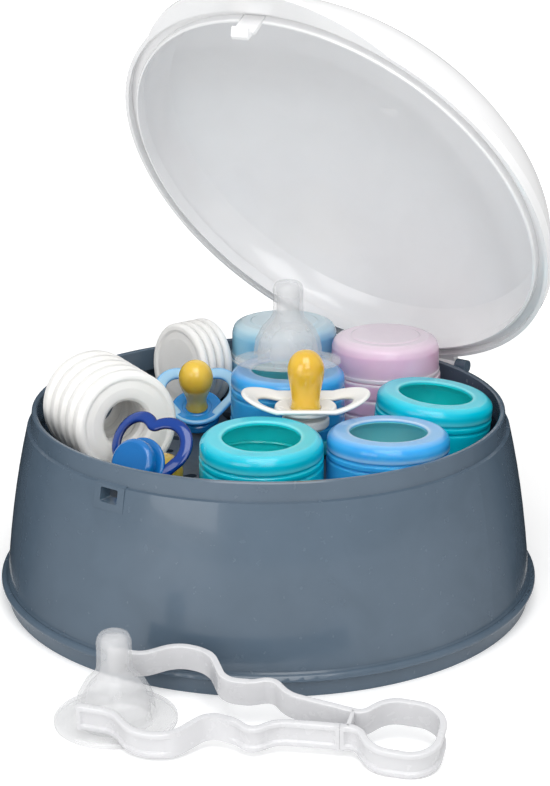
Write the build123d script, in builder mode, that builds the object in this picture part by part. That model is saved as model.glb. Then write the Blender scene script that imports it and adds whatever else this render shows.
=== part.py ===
from build123d import *
import os
from math import asin, cos, degrees, radians, sin, sqrt

# Pacifier steriliser case: a round tub with a hinged dome lid, a slotted rack on legs
# that holds bottle rings, caps, sealing discs, teats and pacifiers, and a pair of tongs.
# Millimetres, +Z up.  The origin is the centre of the tub's foot on the table; the hinge
# is at +Y and the latch at -Y.  The lid stands open, as the case is loaded.

os.makedirs("parts", exist_ok=True)

# ---- Fits and gaps ---------------------------------------------------------------------
seat_gap = 0.3             # air under a piece that rests on another
side_play = 0.3            # end play between hinge ears and lid knuckles
press_fit = 0.02           # radial, pin in its ears
running_fit = 0.05         # radial, knuckle on its pin

# ---- Tub -------------------------------------------------------------------------------
tub_wall = 2.5
rim_r = 112.5              # outer radius at the top of the rim
rim_z = 92.0
collar_height = 8.6        # straight neck that the lid fits over
collar_draft = 0.9         # the neck widens this much towards the ledge
ledge_width = 1.6          # step from the neck out to the belly
belly_bulge = 1.45         # how far the belly stands outside its own chord
belly_foot_r = 126.6
neck_inset = 2.6           # the mouth is this much narrower than the belly below it
flange_reach = 3.4         # bead around the foot, out from the belly
flange_z = 7.6
flange_height = 3.4
plinth_reach = 0.3         # plinth below it, out from the belly
plinth_wall = 2.6
floor_z = 7.0              # underside of the floor
floor_thickness = 2.5
floor_corner = 3.0         # inner corner between floor and wall

# ---- Latch keeper in the tub wall --------------------------------------------------------
slot_width = 9.6
slot_height = 6.4
slot_drop = 9.6            # from the rim down to the top of the slot
keeper_rim = 3.2           # wall left around the slot
keeper_proud = 0.6

# ---- Hinge -----------------------------------------------------------------------------
hinge_out = 3.3            # pin axis outside the rim
hinge_drop = 3.4           # pin axis below the rim
pin_d = 3.2
ear_r = 3.4
ear_width = 6.0
ear_root_height = 4.0
knuckle_r = 3.0
knuckle_width = 11.7
hinge_inner_x = 17.7       # inner face of the first ear

# ---- Lid -------------------------------------------------------------------------------
lid_wall = 2.0
lip_drop = 3.5             # lip reaches this far below the tub rim
lip_gap = 0.7              # radial air between the lip and the rim
plug_drop = 4.0            # short, so that the rack lifts out past it
plug_gap = 1.2             # wide enough to swing past the rim at the hinge
plug_wall = 1.2            # thin, to clear the pieces standing at the rack's edge
crease_inset = 10.4        # from the lip in to where the band turns into the dome
dome_crease_rise = 20.1    # crease above the tub rim
dome_rise = 42.0           # top of the dome above the crease
dome_wall = 2.3
visor_out = 9.6            # finger lip at the front, out from the lip
visor_offset = 36.5
visor_height = 2.4
lid_open = 55.0            # how far the lid stands open

# ---- Latch tongue ----------------------------------------------------------------------
tongue_width = 11.6
tongue_wall = 1.6
tongue_side_gap = 0.5
hook_width = 9.0
hook_reach = 2.8
hook_height = 3.6
hook_drop = 1.3            # hook top below the slot's top edge

# ---- Rack ------------------------------------------------------------------------------
rack_gap = 1.8             # radial air to the tub's neck
rack_deck_z = 66.0         # top of the deck
rack_deck = 2.5
rack_skirt = 10.0
rack_wall = 2.2
leg_d = 10.0
leg_inset = 24.2           # from the rack's edge in to the legs
leg_count = 6
slot_row_insets = (20.2, 52.2, 82.2)   # from the rack's edge in to each row of slots
slot_counts = (24, 16, 8)
rack_slot_length = 20.0
rack_slot_width = 5.0

# ---- Bottle rings, caps and the flat lid ---------------------------------------------------
ring_r = 28.0
ring_height = 29.4
ring_top_r = 25.5          # flat annulus on top, outer radius
ring_hole_r = 17.5
ring_shoulder = 4.5
ring_wall = 2.0
cap_r = 27.4
cap_height = 18.6
cap_shoulder = 6.0
cap_wall = 1.7
cap_seat_height = 5.0
cap_fit = 0.3
flat_lid_r = 29.6
flat_lid_height = 7.4

# ---- Sealing discs, standing on edge in two stacks -----------------------------------------
disc_r = 25.2
disc_thickness = 8.6
small_disc_r = 22.5
small_disc_thickness = 4.6
disc_hole_r = 11.2
disc_rim = 2.2             # raised rim around the recess in each face
disc_recess = 1.2
disc_lean = 5.0

# ---- Teats ---------------------------------------------------------------------------------
teat_flange_r = 25.8
teat_flange = 2.4
teat_dome_r = 16.6
teat_tip_r = 7.4
teat_tip_length = 18.0
teat_height = 40.5
teat_wall = 1.8

# ---- Pacifiers -----------------------------------------------------------------------------
lobe_r = 13.0
lobe_offset = 7.8
lobe_rise = 10.5
chin_r = 13.0
shield_strip = 5.2
shield_wall = 2.4
shield_curve_r = 52.0      # a shield is part of a ball of this radius
shield_disc_r = 12.2
oval_length = 58.0
oval_width = 32.0
bulb_neck_r = 4.6
bulb_r = 8.5
bulb_length = 28.0
knob_r = 11.0
knob_height = 6.5
knob_stem_r = 5.0

# ---- Tongs ---------------------------------------------------------------------------------
tongs_height = 12.0        # width of the strip, standing on edge
tongs_strip = 2.8
tongs_loop_r = 15.6        # middle of the strip
tongs_waist = 5.4          # half the distance between the arms at the loop
tongs_tilt = 12.0          # the rear arm is held up by the teat between the jaws
tongs_climb = 2.2          # and so are the jaws
tongs_joint_gap = 0.1
tongs_rib = 1.8
tongs_heading = (-0.934, -0.358)       # from the loop to the jaws
tongs_clear = 28.9         # from the foot's bead out to the middle of the tongs
loop_back = 98.7           # how far the loop's middle lies behind the tub's
jaw_ahead = 22.1           # how far the teat between the jaws lies in front of it


def plane_at(x, y, z, heading=0.0, lean=0.0):
    """A work plane at a point, whose Z leans by some degrees towards a heading."""
    h = radians(heading)
    t = radians(lean)
    return Plane(
        origin=(x, y, z),
        x_dir=(-sin(h), cos(h), 0),
        z_dir=(sin(t) * cos(h), sin(t) * sin(h), cos(t)),
    )


def standing(x, y, seat, radius, heading=0.0, lean=0.0):
    """The place of a round piece that stands on a seat, tipped onto its low edge."""
    return plane_at(x, y, seat + radius * sin(radians(lean)), heading, lean)


def facing(origin, bulb, lobes):
    """The place of a pacifier: Z along its bulb, Y as near as can be to the lobes' way."""
    x_dir = Vector(*lobes).cross(Vector(*bulb)).normalized()
    return Plane(origin=origin, x_dir=x_dir, z_dir=Vector(*bulb))


def beside_tub(ahead):
    """A point of the tongs' line on the table, so far ahead of the tub's middle along it."""
    out = flange_r + tongs_clear
    return (
        -tongs_heading[1] * out + tongs_heading[0] * ahead,
        tongs_heading[0] * out + tongs_heading[1] * ahead,
    )


def section_of(place):
    """The plane for a half section: X is the radius and Y the height of that place."""
    return Plane(origin=place.origin, x_dir=place.x_dir, z_dir=-place.y_dir)


def radial_plane(angle):
    """A half-section plane through the tub's axis, at a heading in degrees."""
    a = radians(angle)
    return Plane(origin=(0, 0, 0), x_dir=(cos(a), sin(a), 0), z_dir=(sin(a), -cos(a), 0))


def save(solid, name):
    solid.label = name
    export_step(solid, f"parts/{name}.step")


# ========================================================================================
# Tub: one moulding with a curved belly, a neck, a bead at the foot, hinge ears and keeper
# ========================================================================================
hinge_y = rim_r + hinge_out
hinge_z = rim_z - hinge_drop
collar_foot_r = rim_r + collar_draft
ledge_r = collar_foot_r + ledge_width
ledge_z = rim_z - collar_height
belly_foot_z = flange_z + flange_height + 0.4
mouth_r = rim_r - tub_wall
flange_r = belly_foot_r + flange_reach
plinth_r = belly_foot_r + plinth_reach
inner_neck_z = ledge_z - 5.9
inner_neck_r = mouth_r + neck_inset
belly_mid_z = (ledge_z + belly_foot_z) / 2
belly_mid_r = (ledge_r + belly_foot_r) / 2 + belly_bulge
floor_top = floor_z + floor_thickness
inner_foot_r = belly_foot_r - tub_wall - 0.2

slot_top = rim_z - slot_drop
slot_bottom = slot_top - slot_height
keeper_half_angle = degrees(asin((slot_width / 2 + keeper_rim) / rim_r))

# Two pairs of hinge ears at the back, rooted in the middle of the rim's wall
with BuildPart() as hinge_ears:
    for side in (-1, 1):
        for inner_x in (hinge_inner_x, hinge_inner_x + ear_width + knuckle_width + 2 * side_play):
            with BuildSketch(Plane.YZ.offset(side * (inner_x + ear_width / 2))):
                with Locations((hinge_y, hinge_z)):
                    Circle(ear_r)
                with Locations((hinge_y, hinge_z - 0.4)):
                    Rectangle(17.0, ear_root_height, align=(Align.MAX, Align.MAX))
            extrude(amount=ear_width / 2, both=True)
    with BuildSketch(Plane.XY):
        Circle(rim_r - tub_wall / 2)
    extrude(amount=rim_z + ear_r, mode=Mode.SUBTRACT)

with BuildPart() as tub:
    with BuildSketch(Plane.XZ):
        with BuildLine():
            Polyline(
                (0, floor_z),
                (plinth_r - plinth_wall, floor_z),
                (plinth_r - plinth_wall, 0),
                (plinth_r, 0),
                (plinth_r, flange_z),
                (flange_r - 0.8, flange_z),
                (flange_r, flange_z + 0.8),
            )
            ThreePointArc(
                (flange_r, flange_z + 0.8),
                (flange_r - 0.6, flange_z + flange_height - 0.6),
                (flange_r - 2.0, flange_z + flange_height),
            )
            Polyline(
                (flange_r - 2.0, flange_z + flange_height),
                (belly_foot_r + 0.5, flange_z + flange_height - 0.5),
                (belly_foot_r, belly_foot_z),
            )
            ThreePointArc((belly_foot_r, belly_foot_z), (belly_mid_r, belly_mid_z), (ledge_r, ledge_z))
            Polyline(
                (ledge_r, ledge_z),
                (collar_foot_r, ledge_z + 0.4),
                (rim_r, rim_z - 0.6),
                (rim_r - 0.6, rim_z),
                (mouth_r + 0.6, rim_z),
                (mouth_r, rim_z - 0.6),
                (mouth_r, inner_neck_z + 3.0),
                (inner_neck_r, inner_neck_z),
            )
            ThreePointArc(
                (inner_neck_r, inner_neck_z),
                (belly_mid_r - tub_wall, belly_mid_z),
                (inner_foot_r, floor_top + floor_corner),
            )
            Polyline(
                (inner_foot_r, floor_top + floor_corner),
                (inner_foot_r - 1.0, floor_top + 0.9),
                (inner_foot_r - floor_corner, floor_top),
                (0, floor_top),
                (0, floor_z),
            )
        make_face()
    revolve(axis=Axis.Z)
    # raised frame around the latch slot, thickened inwards to meet the tongue
    with BuildSketch(radial_plane(-90 - keeper_half_angle)):
        with BuildLine():
            Polyline(
                (mouth_r, slot_bottom - keeper_rim),
                (ledge_r + 2.0 + keeper_proud, slot_bottom - keeper_rim),
                (ledge_r + keeper_proud, ledge_z),
                (collar_foot_r - 0.8, ledge_z + 1.2),
                (mouth_r + 1.2, ledge_z + 1.2),
                (mouth_r + 1.2, inner_neck_z + 4.0),
                (mouth_r, inner_neck_z + 3.0),
                close=True,
            )
        make_face()
    revolve(axis=Axis.Z, revolution_arc=2 * keeper_half_angle)
    with BuildSketch(Plane.XZ.offset(mouth_r - 6)):
        with Locations((0, (slot_top + slot_bottom) / 2)):
            RectangleRounded(slot_width, slot_height, 0.8)
    extrude(amount=16, mode=Mode.SUBTRACT)
    add(hinge_ears.part)
    with BuildSketch(Plane.YZ):
        with Locations((hinge_y, hinge_z)):
            Circle(pin_d / 2 + press_fit)
    extrude(amount=rim_r, both=True, mode=Mode.SUBTRACT)
save(tub.part, "tub")

# Hinge pins: plain moulded pins pressed into the ears, one pair on each side
hinge_outer_x = hinge_inner_x + 2 * ear_width + knuckle_width + 2 * side_play
for side, name in ((-1, "hinge_pin_left"), (1, "hinge_pin_right")):
    with BuildPart() as pin:
        with BuildSketch(Plane.YZ.offset(side * hinge_inner_x)):
            with Locations((hinge_y, hinge_z)):
                Circle(pin_d / 2)
        extrude(amount=side * (hinge_outer_x - hinge_inner_x))
        chamfer(pin.edges().filter_by(GeomType.CIRCLE), 0.3)
    save(pin.part, name)

# ========================================================================================
# Lid: drawn in the closed position on a plane that is turned open about the hinge
# ========================================================================================
open_angle = radians(lid_open)
lid_place = Plane(
    origin=(
        0,
        hinge_y - hinge_y * cos(open_angle) - hinge_z * sin(open_angle),
        hinge_z + hinge_y * sin(open_angle) - hinge_z * cos(open_angle),
    ),
    x_dir=(1, 0, 0),
    z_dir=(0, sin(open_angle), cos(open_angle)),
)
lid_axis = Axis(lid_place.origin, lid_place.z_dir)
lip_z = rim_z - lip_drop
lip_inner_r = rim_r + lip_gap
lip_outer_r = lip_inner_r + lid_wall
dome_crease_r = lip_outer_r - crease_inset
visor_reach = lip_outer_r + visor_out
plug_outer_r = mouth_r - plug_gap
plug_inner_r = plug_outer_r - plug_wall
plug_z = rim_z - plug_drop
roof_z = rim_z + seat_gap
crease_z = rim_z + dome_crease_rise
top_z = crease_z + dome_rise
dome_r = (dome_crease_r**2 + dome_rise**2) / (2 * dome_rise)
inner_dome_r = dome_r - dome_wall
ball_z = top_z - dome_r
inner_crease_r = dome_crease_r - dome_wall
inner_crease_z = ball_z + sqrt(inner_dome_r**2 - inner_crease_r**2)
mid_r = dome_crease_r / 2
mid_inner_r = inner_crease_r / 2


def across_lid(x):
    """The plane across the lid at a given X, with its own Y and Z along the lid's."""
    return Plane(
        origin=lid_place.from_local_coords((x, 0, 0)),
        x_dir=lid_place.y_dir,
        z_dir=lid_place.x_dir,
    )


with BuildPart() as lid:
    with BuildSketch(section_of(lid_place)):
        with BuildLine():
            Polyline(
                (plug_inner_r, plug_z),
                (plug_outer_r - 0.4, plug_z),
                (plug_outer_r, plug_z + 0.8),
                (plug_outer_r, roof_z),
                (lip_inner_r, roof_z),
                (lip_inner_r, lip_z),
                (lip_outer_r, lip_z),
                (lip_outer_r, rim_z + 1.6),
                (lip_outer_r - 0.7, rim_z + 2.3),
                (lip_outer_r - 2.4, rim_z + 2.6),
            )
            ThreePointArc(
                (lip_outer_r - 2.4, rim_z + 2.6),
                (lip_outer_r - 5.0, rim_z + 11.5),
                (dome_crease_r, crease_z),
            )
            ThreePointArc(
                (dome_crease_r, crease_z),
                (mid_r, ball_z + sqrt(dome_r**2 - mid_r**2)),
                (0, top_z),
            )
            Line((0, top_z), (0, top_z - dome_wall))
            ThreePointArc(
                (0, top_z - dome_wall),
                (mid_inner_r, ball_z + sqrt(inner_dome_r**2 - mid_inner_r**2)),
                (inner_crease_r, inner_crease_z),
            )
            ThreePointArc(
                (inner_crease_r, inner_crease_z),
                (inner_crease_r + 4.9, rim_z + 11.2),
                (plug_outer_r + 0.9, rim_z + 2.9),
            )
            Polyline(
                (plug_outer_r + 0.9, rim_z + 2.9),
                (plug_inner_r, rim_z + 2.3),
                (plug_inner_r, plug_z),
            )
        make_face()
    revolve(axis=lid_axis)
    # finger lip at the front
    with BuildSketch(lid_place.offset(lip_z)):
        with Locations((0, -visor_offset)):
            Circle(visor_reach - visor_offset)
        Circle(lip_inner_r + 0.6, mode=Mode.SUBTRACT)
    extrude(amount=visor_height)
    # webs and barrels of the two hinge knuckles
    for side in (-1, 1):
        centre_x = side * (hinge_inner_x + ear_width + side_play + knuckle_width / 2)
        with BuildSketch(across_lid(centre_x)):
            with Locations((hinge_y, hinge_z)):
                Circle(knuckle_r)
            with Locations((hinge_y, lip_z)):
                Rectangle(11.0, knuckle_r + 0.1, align=(Align.MAX, Align.MIN))
        extrude(amount=knuckle_width / 2, both=True)
    # room for the tub's rim under the lip, and for the ears beside the knuckles
    with BuildSketch(section_of(lid_place)):
        with BuildLine():
            Polyline(
                (plug_outer_r, plug_z - 2),
                (lip_inner_r, plug_z - 2),
                (lip_inner_r, roof_z),
                (plug_outer_r, roof_z),
                close=True,
            )
        make_face()
    revolve(axis=lid_axis, mode=Mode.SUBTRACT)
    for side in (-1, 1):
        for ear_x in (hinge_inner_x, hinge_inner_x + ear_width + knuckle_width + 2 * side_play):
            with BuildSketch(across_lid(side * (ear_x + ear_width / 2))):
                with Locations((hinge_y, hinge_z)):
                    Circle(ear_r + side_play)
            extrude(amount=ear_width / 2 + side_play, both=True, mode=Mode.SUBTRACT)
    with BuildSketch(across_lid(0)):
        with Locations((hinge_y, hinge_z)):
            Circle(pin_d / 2 + running_fit)
    extrude(amount=rim_r, both=True, mode=Mode.SUBTRACT)
    # the locating skirt is cut away around the latch tongue
    with BuildSketch(lid_place.offset(plug_z - 1)):
        with Locations((0, -plug_outer_r)):
            Rectangle(tongue_width + 2 * tongue_side_gap, 8.0)
    extrude(amount=plug_drop + 1 + seat_gap, mode=Mode.SUBTRACT)
save(lid.part, "lid")

# Latch tongue: springs inwards from the lid and hooks into the slot in the tub
tongue_face = plug_outer_r - 0.2
hook_top = slot_top - hook_drop
hook_bottom = hook_top - hook_height
tongue_top = roof_z - seat_gap
with BuildPart() as latch_tongue:
    with BuildSketch(across_lid(0)):
        with Locations((-tongue_face, tongue_top)):
            Rectangle(tongue_wall, tongue_top - hook_top, align=(Align.MIN, Align.MAX))
    extrude(amount=tongue_width / 2, both=True)
    with BuildSketch(across_lid(0)):
        with BuildLine():
            Polyline(
                (-tongue_face + tongue_wall, hook_top + 1.0),
                (-tongue_face, hook_top + 1.0),
                (-tongue_face, hook_top),
                (-tongue_face - hook_reach, hook_top),
                (-tongue_face - hook_reach, hook_top - 0.9),
                (-tongue_face, hook_bottom),
                (-tongue_face + tongue_wall, hook_bottom),
                close=True,
            )
        make_face()
    extrude(amount=hook_width / 2, both=True)
save(latch_tongue.part, "latch_tongue")

# ========================================================================================
# Rack: a slotted deck on six hollow legs, lifted out with what stands on it
# ========================================================================================
rack_r = mouth_r - rack_gap
leg_circle_r = rack_r - leg_inset
deck_bottom = rack_deck_z - rack_deck
with BuildPart() as rack:
    with BuildSketch(Plane.XZ):
        with BuildLine():
            Polyline(
                (0, deck_bottom),
                (rack_r - rack_wall, deck_bottom),
                (rack_r - rack_wall, rack_deck_z - rack_skirt),
                (rack_r, rack_deck_z - rack_skirt),
                (rack_r, rack_deck_z - 1.0),
                (rack_r - 1.0, rack_deck_z),
                (0, rack_deck_z),
                close=True,
            )
        make_face()
    revolve(axis=Axis.Z)
    with BuildSketch(Plane.XY.offset(floor_top + seat_gap)):
        with PolarLocations(leg_circle_r, leg_count):
            Circle(leg_d / 2)
    extrude(amount=deck_bottom - floor_top - seat_gap + 0.5)
    with BuildSketch(Plane.XY.offset(floor_top + seat_gap)):
        with PolarLocations(leg_circle_r, leg_count):
            Circle(leg_d / 2 - 1.8)
    extrude(amount=deck_bottom - floor_top - 6.0, mode=Mode.SUBTRACT)
    for inset, count in zip(slot_row_insets, slot_counts):
        row_r = rack_r - inset
        with BuildSketch(Plane.XY.offset(deck_bottom - 1)):
            with PolarLocations(row_r, count, start_angle=180 / count):
                SlotOverall(min(rack_slot_length, row_r * 0.7), rack_slot_width)
        extrude(amount=rack_deck + 2, mode=Mode.SUBTRACT)
save(rack.part, "rack")

# ========================================================================================
# Bottle rings, caps and the flat lid
# ========================================================================================
deck_seat = rack_deck_z + seat_gap
stack_seat = deck_seat + flat_lid_height + seat_gap
capped_height = ring_height - 2.4
middle_stack = (-2.1, 18.7)     # the blue ring stands on the flat lid here


ring_places = {
    "ring_teal_front": standing(36.0, -54.3, deck_seat, ring_r, heading=-53, lean=3.0),
    "ring_blue_right": standing(77.8, -15.3, deck_seat, ring_r, heading=122, lean=2.0),
    "ring_teal_right": standing(65.4, 40.2, deck_seat, ring_r, heading=33, lean=5.5),
    "ring_blue_middle": standing(*middle_stack, stack_seat, ring_r),
}
height = ring_height
for name, place in ring_places.items():
    with BuildPart() as ring:
        with BuildSketch(section_of(place)):
            with BuildLine():
                Polyline(
                    (ring_hole_r, height - ring_wall),
                    (ring_hole_r, height),
                    (ring_top_r - 0.8, height),
                    (ring_top_r, height - 0.4),
                )
                ThreePointArc(
                    (ring_top_r, height - 0.4),
                    (ring_r - 1.1, height - 1.9),
                    (ring_r - 0.2, height - ring_shoulder),
                )
                Polyline(
                    (ring_r - 0.2, height - ring_shoulder),
                    (ring_r, 0.6),
                    (ring_r - 0.4, 0),
                    (ring_r - ring_wall, 0),
                    (ring_r - ring_wall - 0.4, height - ring_shoulder - 1.5),
                    (ring_r - ring_wall - 2.4, height - ring_wall),
                    (ring_hole_r, height - ring_wall),
                )
            make_face()
        revolve(axis=Axis(place.origin, place.z_dir))
    save(ring.part, name)

# Capped rings: the ring has a stepped seat that the dome cap slips over
capped_places = {
    "pink": standing(19.2, 72.7, deck_seat, ring_r),
    "sky": standing(-37.5, 64.7, deck_seat, ring_r),
}
for colour, place in capped_places.items():
    seat_r = cap_r - cap_wall - cap_fit
    with BuildPart() as capped_ring:
        with BuildSketch(section_of(place)):
            with BuildLine():
                Polyline(
                    (ring_hole_r, capped_height + cap_seat_height - ring_wall),
                    (ring_hole_r, capped_height + cap_seat_height),
                    (seat_r - 0.5, capped_height + cap_seat_height),
                    (seat_r, capped_height + cap_seat_height - 0.5),
                    (seat_r, capped_height),
                    (ring_r - 0.8, capped_height),
                    (ring_r - 0.1, capped_height - 0.8),
                    (ring_r, 0.6),
                    (ring_r - 0.4, 0),
                    (ring_r - ring_wall, 0),
                    (ring_r - ring_wall, capped_height - 5.0),
                    (seat_r - ring_wall, capped_height - 2.0),
                    (seat_r - ring_wall, capped_height + cap_seat_height - ring_wall),
                    close=True,
                )
            make_face()
        revolve(axis=Axis(place.origin, place.z_dir))
    save(capped_ring.part, f"ring_{colour}")
    cap_place = place.offset(capped_height + seat_gap)
    with BuildPart() as cap:
        with BuildSketch(section_of(cap_place)):
            with BuildLine():
                Polyline((cap_r - cap_wall, 0), (cap_r, 0), (cap_r - 0.6, cap_height - cap_shoulder))
                ThreePointArc(
                    (cap_r - 0.6, cap_height - cap_shoulder),
                    (cap_r - 2.1, cap_height - 1.9),
                    (cap_r - cap_shoulder, cap_height - 0.4),
                )
                Polyline(
                    (cap_r - cap_shoulder, cap_height - 0.4),
                    (0, cap_height),
                    (0, cap_height - cap_wall),
                    (cap_r - cap_shoulder - 0.4, cap_height - cap_wall - 0.4),
                )
                ThreePointArc(
                    (cap_r - cap_shoulder - 0.4, cap_height - cap_wall - 0.4),
                    (cap_r - 2.1 - cap_wall * 0.75, cap_height - 1.9 - cap_wall * 0.75),
                    (cap_r - 0.6 - cap_wall, cap_height - cap_shoulder),
                )
                Line((cap_r - 0.6 - cap_wall, cap_height - cap_shoulder), (cap_r - cap_wall, 0))
            make_face()
        revolve(axis=Axis(cap_place.origin, cap_place.z_dir))
    save(cap.part, f"cap_{colour}")

# Flat lid under the middle ring, lying face down
flat_place = standing(*middle_stack, deck_seat, flat_lid_r)
with BuildPart() as flat_lid:
    with BuildSketch(section_of(flat_place)):
        with BuildLine():
            Polyline(
                (0, 0),
                (flat_lid_r - 1.2, 0),
                (flat_lid_r, 1.2),
                (flat_lid_r, flat_lid_height),
                (flat_lid_r - 2.0, flat_lid_height),
                (flat_lid_r - 2.4, flat_lid_height - 0.4),
                (flat_lid_r - 2.4, 2.0),
                (0, 2.0),
                close=True,
            )
        make_face()
    revolve(axis=Axis(flat_place.origin, flat_place.z_dir))
save(flat_lid.part, "flat_lid_teal")

# ========================================================================================
# Sealing discs: each stands on edge on the deck and leans on the one behind
# ========================================================================================
disc_stacks = {
    # name: (x, y of the front disc, heading its face looks to, radius, thickness, hole, count)
    "disc_front": (-33.6, -66.0, -25.0, disc_r, disc_thickness, disc_hole_r, 5),
    "disc_back": (-76.7, 28.2, -105.0, small_disc_r, small_disc_thickness, 0, 4),
}
for stack, (x, y, heading, radius, thickness, hole, count) in disc_stacks.items():
    pitch = thickness + seat_gap
    for number in range(count):
        back = number * pitch / cos(radians(disc_lean))
        disc_place = plane_at(
            x - back * cos(radians(heading)),
            y - back * sin(radians(heading)),
            deck_seat + radius * cos(radians(disc_lean)) + thickness / 2 * sin(radians(disc_lean)),
            heading,
            90 - disc_lean,
        )
        half = thickness / 2
        with BuildPart() as disc:
            with BuildSketch(section_of(disc_place)):
                with BuildLine():
                    Polyline(
                        (hole, disc_recess - half),
                        (radius - disc_rim - 0.8, disc_recess - half),
                        (radius - disc_rim, -half),
                        (radius - 1.2, -half),
                    )
                    ThreePointArc((radius - 1.2, -half), (radius, 0), (radius - 1.2, half))
                    Polyline(
                        (radius - 1.2, half),
                        (radius - disc_rim, half),
                        (radius - disc_rim - 0.8, half - disc_recess),
                        (hole, half - disc_recess),
                        (hole, disc_recess - half),
                    )
                make_face()
            revolve(axis=Axis(disc_place.origin, disc_place.z_dir))
        save(disc.part, f"{stack}_{number + 1}")

# ========================================================================================
# Teats: thin silicone bells with a flange; one lies on the blue ring, one is in the tongs
# ========================================================================================
middle_top = stack_seat + ring_height + seat_gap
teat_places = {
    "teat_on_ring": standing(*middle_stack, middle_top, teat_flange_r, heading=126, lean=6.0),
    "teat_in_tongs": standing(*beside_tub(jaw_ahead), 0.0, teat_flange_r),
}
teat_neck_z = teat_height - teat_tip_length
tip_centre_z = teat_height - teat_tip_r
inner_tip_r = teat_tip_r - teat_wall
half_root = sqrt(0.5)
for name, place in teat_places.items():
    with BuildPart() as teat:
        with BuildSketch(section_of(place)):
            with BuildLine():
                Polyline(
                    (teat_dome_r - teat_wall, 0),
                    (teat_flange_r - 0.6, 0),
                    (teat_flange_r, 0.6),
                    (teat_flange_r, teat_flange - 0.9),
                    (teat_flange_r - 0.9, teat_flange),
                    (teat_dome_r + 0.8, teat_flange),
                    (teat_dome_r, teat_flange + 0.9),
                )
                ThreePointArc(
                    (teat_dome_r, teat_flange + 0.9),
                    (teat_dome_r - 1.6, teat_neck_z * 0.57),
                    (teat_tip_r + 1.4, teat_neck_z - 0.8),
                )
                Polyline(
                    (teat_tip_r + 1.4, teat_neck_z - 0.8),
                    (teat_tip_r, teat_neck_z + 1.4),
                    (teat_tip_r, tip_centre_z),
                )
                ThreePointArc(
                    (teat_tip_r, tip_centre_z),
                    (teat_tip_r * half_root, tip_centre_z + teat_tip_r * half_root),
                    (0, teat_height),
                )
                Line((0, teat_height), (0, teat_height - teat_wall))
                ThreePointArc(
                    (0, teat_height - teat_wall),
                    (inner_tip_r * half_root, tip_centre_z + inner_tip_r * half_root),
                    (inner_tip_r, tip_centre_z),
                )
                Polyline(
                    (inner_tip_r, tip_centre_z),
                    (inner_tip_r, teat_neck_z + 0.6),
                    (teat_tip_r - 0.6, teat_neck_z - 1.8),
                )
                ThreePointArc(
                    (teat_tip_r - 0.6, teat_neck_z - 1.8),
                    (teat_dome_r - 1.6 - teat_wall, teat_neck_z * 0.5),
                    (teat_dome_r - teat_wall, teat_flange),
                )
                Line((teat_dome_r - teat_wall, teat_flange), (teat_dome_r - teat_wall, 0))
            make_face()
        revolve(axis=Axis(place.origin, place.z_dir))
    save(teat.part, name)

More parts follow.
